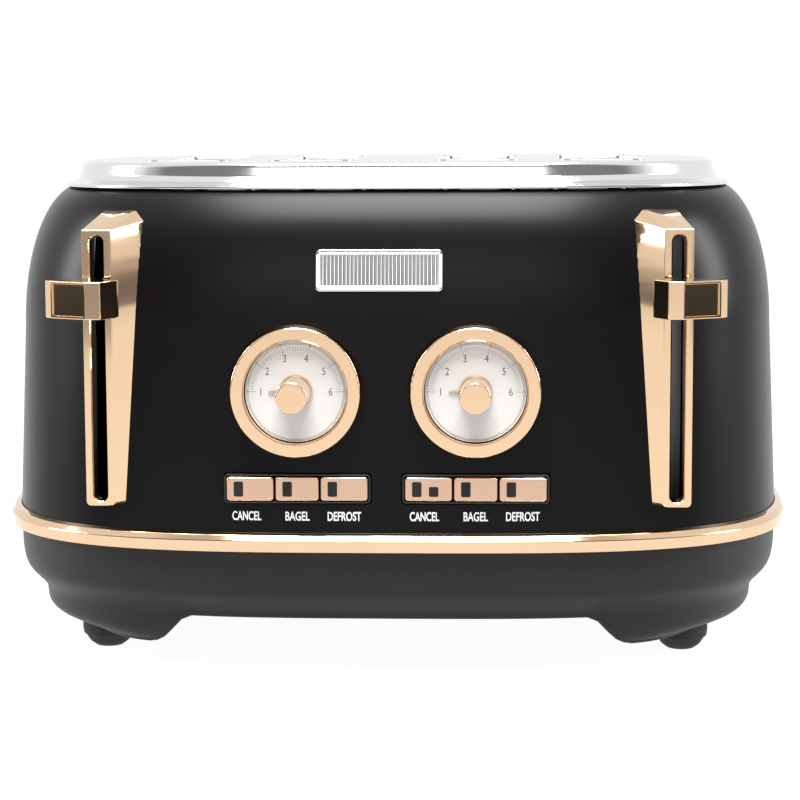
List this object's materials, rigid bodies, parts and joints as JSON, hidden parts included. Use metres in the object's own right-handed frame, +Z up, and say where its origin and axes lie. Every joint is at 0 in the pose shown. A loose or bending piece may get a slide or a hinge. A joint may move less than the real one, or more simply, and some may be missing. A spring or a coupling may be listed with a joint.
{
  "type": "pop-up toaster",
  "caption": "Wide pop-up toaster with a bell-shaped black housing, front-to-back bread slots, faceted copper lever towers, gauge dials, push buttons and crumb trays.",
  "frame": {"origin": "on the table, under the middle of the overall box", "axes": "+Z up, +X to the user's right, -Y towards the user, who faces the dials"},
  "size_m": [0.33, 0.3126, 0.1995],
  "materials": {
    "black_enamel": "satin",
    "polished_steel": "polished",
    "copper": "polished copper plating",
    "copper_button": "copper-coloured plating on plastic",
    "black_plastic": "fine matte",
    "foot_rubber": "matte",
    "dial_card": "printed, satin",
    "plated_steel": "zinc plated",
    "mica": "mica sheet wound with heating wire",
    "circuit_board": "solder mask"
  },
  "bodies": {
    "housing": {"body_shell": "black_enamel", "top_plate": "polished_steel", "trim_ring": "copper", "base_pan": "black_plastic", "name_badge": "polished_steel", "cord_gland": "black_plastic", "chassis_front_plate": "plated_steel", "chassis_rear_plate": "plated_steel", "foot_front_left": "foot_rubber", "foot_rear_left": "foot_rubber", "lever_bezel_left": "copper", "dial_bezel_left": "copper", "dial_face_left": "dial_card", "button_frame_left": "black_plastic", "guide_rod_left": "plated_steel", "lift_spring_left": "plated_steel", "magnet_left": "plated_steel", "control_board_left": "circuit_board", "foot_front_right": "foot_rubber", "foot_rear_right": "foot_rubber", "lever_bezel_right": "copper", "dial_bezel_right": "copper", "dial_face_right": "dial_card", "button_frame_right": "black_plastic", "guide_rod_right": "plated_steel", "lift_spring_right": "plated_steel", "magnet_right": "plated_steel", "control_board_right": "circuit_board", "heater_board_1": "mica", "heater_board_2": "mica", "heater_board_3": "mica", "heater_board_4": "mica", "heater_board_5": "mica", "heater_board_6": "mica"},
    "carriage_left": {"carriage_left": "plated_steel", "lever_knob_left": "copper", "bread_rack_1": "plated_steel", "bread_rack_2": "plated_steel"},
    "dial_left": {"dial_knob_left": "copper"},
    "cancel_left": {"button_cancel_left": "copper_button"},
    "bagel_left": {"button_bagel_left": "copper_button"},
    "defrost_left": {"button_defrost_left": "copper_button"},
    "tray_left": {"crumb_tray_left": "plated_steel"},
    "carriage_right": {"carriage_right": "plated_steel", "lever_knob_right": "copper", "bread_rack_3": "plated_steel", "bread_rack_4": "plated_steel"},
    "dial_right": {"dial_knob_right": "copper"},
    "cancel_right": {"button_cancel_right": "copper_button"},
    "bagel_right": {"button_bagel_right": "copper_button"},
    "defrost_right": {"button_defrost_right": "copper_button"},
    "tray_right": {"crumb_tray_right": "plated_steel"},
    "guard_1": {"bread_guard_1": "plated_steel"},
    "guard_2": {"bread_guard_2": "plated_steel"},
    "guard_3": {"bread_guard_3": "plated_steel"},
    "guard_4": {"bread_guard_4": "plated_steel"},
    "guard_5": {"bread_guard_5": "plated_steel"},
    "guard_6": {"bread_guard_6": "plated_steel"},
    "guard_7": {"bread_guard_7": "plated_steel"},
    "guard_8": {"bread_guard_8": "plated_steel"}
  },
  "joints": [
    {"name": "lever_left_slide", "type": "slide", "parent": "housing", "child": "carriage_left", "axis": [0, 0, 1], "range_m": [-0.072, 0.016], "stiffness_N_per_m": 150, "springref_m": 0.0098, "deforming": ["lift_spring_left"]},
    {"name": "lever_right_slide", "type": "slide", "parent": "housing", "child": "carriage_right", "axis": [0, 0, 1], "range_m": [-0.072, 0.016], "stiffness_N_per_m": 150, "springref_m": 0.0098, "deforming": ["lift_spring_right"]},
    {"name": "guard_1_slide", "type": "slide", "parent": "housing", "child": "guard_1", "axis": [1, 0, 0], "range_m": [-0.0012, 0.0051]},
    {"name": "guard_2_slide", "type": "slide", "parent": "housing", "child": "guard_2", "axis": [-1, 0, 0], "range_m": [-0.0012, 0.0051]},
    {"name": "guard_3_slide", "type": "slide", "parent": "housing", "child": "guard_3", "axis": [1, 0, 0], "range_m": [-0.0012, 0.0051]},
    {"name": "guard_4_slide", "type": "slide", "parent": "housing", "child": "guard_4", "axis": [-1, 0, 0], "range_m": [-0.0012, 0.0051]},
    {"name": "guard_5_slide", "type": "slide", "parent": "housing", "child": "guard_5", "axis": [1, 0, 0], "range_m": [-0.0012, 0.0051]},
    {"name": "guard_6_slide", "type": "slide", "parent": "housing", "child": "guard_6", "axis": [-1, 0, 0], "range_m": [-0.0012, 0.0051]},
    {"name": "guard_7_slide", "type": "slide", "parent": "housing", "child": "guard_7", "axis": [1, 0, 0], "range_m": [-0.0012, 0.0051]},
    {"name": "guard_8_slide", "type": "slide", "parent": "housing", "child": "guard_8", "axis": [-1, 0, 0], "range_m": [-0.0012, 0.0051]},
    {"name": "dial_left_turn", "type": "hinge", "parent": "housing", "child": "dial_left", "pos_m": [-0.0344, -0.14, 0.1123], "axis": [0, 1, 0], "range_deg": [0, 180]},
    {"name": "dial_right_turn", "type": "hinge", "parent": "housing", "child": "dial_right", "pos_m": [0.0344, -0.14, 0.1123], "axis": [0, 1, 0], "range_deg": [0, 180]},
    {"name": "cancel_left_press", "type": "slide", "parent": "housing", "child": "cancel_left", "axis": [0, 1, 0], "range_m": [0, 0.0025], "stiffness_N_per_m": 300, "springref_m": -0.0015},
    {"name": "bagel_left_press", "type": "slide", "parent": "housing", "child": "bagel_left", "axis": [0, 1, 0], "range_m": [0, 0.0025], "stiffness_N_per_m": 300, "springref_m": -0.0015},
    {"name": "defrost_left_press", "type": "slide", "parent": "housing", "child": "defrost_left", "axis": [0, 1, 0], "range_m": [0, 0.0025], "stiffness_N_per_m": 300, "springref_m": -0.0015},
    {"name": "cancel_right_press", "type": "slide", "parent": "housing", "child": "cancel_right", "axis": [0, 1, 0], "range_m": [0, 0.0025], "stiffness_N_per_m": 300, "springref_m": -0.0015},
    {"name": "bagel_right_press", "type": "slide", "parent": "housing", "child": "bagel_right", "axis": [0, 1, 0], "range_m": [0, 0.0025], "stiffness_N_per_m": 300, "springref_m": -0.0015},
    {"name": "defrost_right_press", "type": "slide", "parent": "housing", "child": "defrost_right", "axis": [0, 1, 0], "range_m": [0, 0.0025], "stiffness_N_per_m": 300, "springref_m": -0.0015},
    {"name": "tray_left_slide", "type": "slide", "parent": "housing", "child": "tray_left", "axis": [0, 1, 0], "range_m": [0, 0.12]},
    {"name": "tray_right_slide", "type": "slide", "parent": "housing", "child": "tray_right", "axis": [0, 1, 0], "range_m": [0, 0.12]}
  ],
  "couplings": [
    {"joint": "guard_1_slide", "follows": "lever_left_slide", "ratio": -0.069444},
    {"joint": "guard_2_slide", "follows": "lever_left_slide", "ratio": -0.069444},
    {"joint": "guard_3_slide", "follows": "lever_left_slide", "ratio": -0.069444},
    {"joint": "guard_4_slide", "follows": "lever_left_slide", "ratio": -0.069444},
    {"joint": "guard_5_slide", "follows": "lever_right_slide", "ratio": -0.069444},
    {"joint": "guard_6_slide", "follows": "lever_right_slide", "ratio": -0.069444},
    {"joint": "guard_7_slide", "follows": "lever_right_slide", "ratio": -0.069444},
    {"joint": "guard_8_slide", "follows": "lever_right_slide", "ratio": -0.069444}
  ]
}
